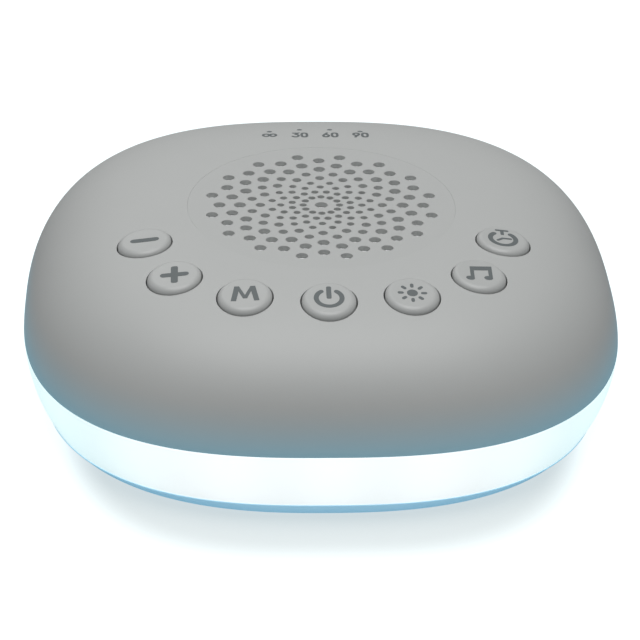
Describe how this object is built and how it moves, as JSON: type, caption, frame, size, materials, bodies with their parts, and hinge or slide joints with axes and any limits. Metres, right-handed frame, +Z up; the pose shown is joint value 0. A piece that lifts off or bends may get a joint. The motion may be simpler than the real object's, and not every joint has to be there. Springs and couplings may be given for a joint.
{
  "type": "white noise sound machine",
  "caption": "Rounded-square bedside sound machine: speaker grille and an arc of press buttons on a grey domed housing, over a glowing band and a base with rubber feet.",
  "frame": {"origin": "under the middle of the body, on the surface that it stands on", "axes": "+Z up; -Y to the front, where the buttons are; +X to the right as seen from the front"},
  "size_m": [0.105, 0.105, 0.0352],
  "materials": {
    "housing": "fine matt moulded grain, light grey",
    "grille": "fine matt moulded grain, light grey",
    "button_cap": "smooth satin, light grey with a dark printed symbol",
    "diffuser": "translucent white, lit from inside",
    "base_plastic": "satin white",
    "foot_rubber": "matt, translucent white",
    "screw_steel": "zinc plated",
    "mesh_cloth": "fine woven acoustic mesh",
    "clear_pipe": "clear moulded",
    "circuit_board": "green solder mask",
    "switch_case": "moulded",
    "dark_plastic": "moulded",
    "white_plastic": "moulded",
    "foam": "closed-cell foam",
    "basket_steel": "pressed and painted",
    "surround_rubber": "satin",
    "cone_paper": "pressed fibre",
    "cap_paper": "pressed fibre",
    "coil_wire": "enamelled copper winding",
    "spider_cloth": "resin-dipped cotton",
    "plate_steel": "zinc plated",
    "ferrite": "sintered",
    "led_lens": "encapsulated",
    "inlet_metal": "nickel plated",
    "strip_film": "flexible film",
    "capacitor_can": "sleeved can",
    "ribbon_grey": "insulated flat cable",
    "lead_red": "insulated wire",
    "tag_board": "phenolic board",
    "lead_white": "insulated wire",
    "lead_black": "insulated wire"
  },
  "bodies": {
    "case": {"top_housing": "housing", "speaker_grille": "grille", "dust_mesh": "mesh_cloth", "light_pipes": "clear_pipe", "light_ring": "diffuser", "base_tray": "base_plastic", "foot_front_left": "foot_rubber", "foot_front_right": "foot_rubber", "foot_back_left": "foot_rubber", "foot_back_right": "foot_rubber", "case_screws": "screw_steel", "board_screws": "screw_steel", "key_board": "circuit_board", "key_switches": "switch_case", "speaker_gasket": "foam", "speaker_basket": "basket_steel", "speaker_surround": "surround_rubber", "speaker_spider": "spider_cloth", "speaker_top_plate": "plate_steel", "speaker_magnet": "ferrite", "speaker_yoke": "plate_steel", "speaker_retainer": "dark_plastic", "indicator_board": "circuit_board", "indicator_leds": "led_lens", "power_board": "circuit_board", "inlet_shell": "inlet_metal", "inlet_tongue": "dark_plastic", "led_carrier": "white_plastic", "led_strip": "strip_film", "band_leds": "led_lens", "main_board": "circuit_board", "control_chips": "dark_plastic", "capacitors": "capacitor_can", "power_coil": "ferrite", "board_connectors": "white_plastic", "key_ribbon": "ribbon_grey", "speaker_leads": "lead_red", "power_leads": "lead_black", "terminal_tag": "tag_board", "strip_leads": "lead_white"},
    "cone": {"speaker_cone": "cone_paper", "dust_cap": "cap_paper", "voice_coil": "coil_wire"},
    "key_minus": {"button_minus": "button_cap", "plunger_minus": "dark_plastic"},
    "key_plus": {"button_plus": "button_cap", "plunger_plus": "dark_plastic"},
    "key_mode": {"button_mode": "button_cap", "plunger_mode": "dark_plastic"},
    "key_power": {"button_power": "button_cap", "plunger_power": "dark_plastic"},
    "key_light": {"button_light": "button_cap", "plunger_light": "dark_plastic"},
    "key_sound": {"button_sound": "button_cap", "plunger_sound": "dark_plastic"},
    "key_timer": {"button_timer": "button_cap", "plunger_timer": "dark_plastic"}
  },
  "joints": [
    {"name": "cone_stroke", "type": "slide", "parent": "case", "child": "cone", "axis": [0, 0, 1], "range_m": [-0.0005, 0.0005], "stiffness_N_per_m": 400, "deforming": ["speaker_surround", "speaker_spider"]},
    {"name": "press_minus", "type": "slide", "parent": "case", "child": "key_minus", "axis": [0, 0, -1], "range_m": [0, 0.0004], "stiffness_N_per_m": 400, "springref_m": -0.0006},
    {"name": "press_plus", "type": "slide", "parent": "case", "child": "key_plus", "axis": [0, 0, -1], "range_m": [0, 0.0004], "stiffness_N_per_m": 400, "springref_m": -0.0006},
    {"name": "press_mode", "type": "slide", "parent": "case", "child": "key_mode", "axis": [0, 0, -1], "range_m": [0, 0.0004], "stiffness_N_per_m": 400, "springref_m": -0.0006},
    {"name": "press_power", "type": "slide", "parent": "case", "child": "key_power", "axis": [0, 0, -1], "range_m": [0, 0.0004], "stiffness_N_per_m": 400, "springref_m": -0.0006},
    {"name": "press_light", "type": "slide", "parent": "case", "child": "key_light", "axis": [0, 0, -1], "range_m": [0, 0.0004], "stiffness_N_per_m": 400, "springref_m": -0.0006},
    {"name": "press_sound", "type": "slide", "parent": "case", "child": "key_sound", "axis": [0, 0, -1], "range_m": [0, 0.0004], "stiffness_N_per_m": 400, "springref_m": -0.0006},
    {"name": "press_timer", "type": "slide", "parent": "case", "child": "key_timer", "axis": [0, 0, -1], "range_m": [0, 0.0004], "stiffness_N_per_m": 400, "springref_m": -0.0006}
  ]
}
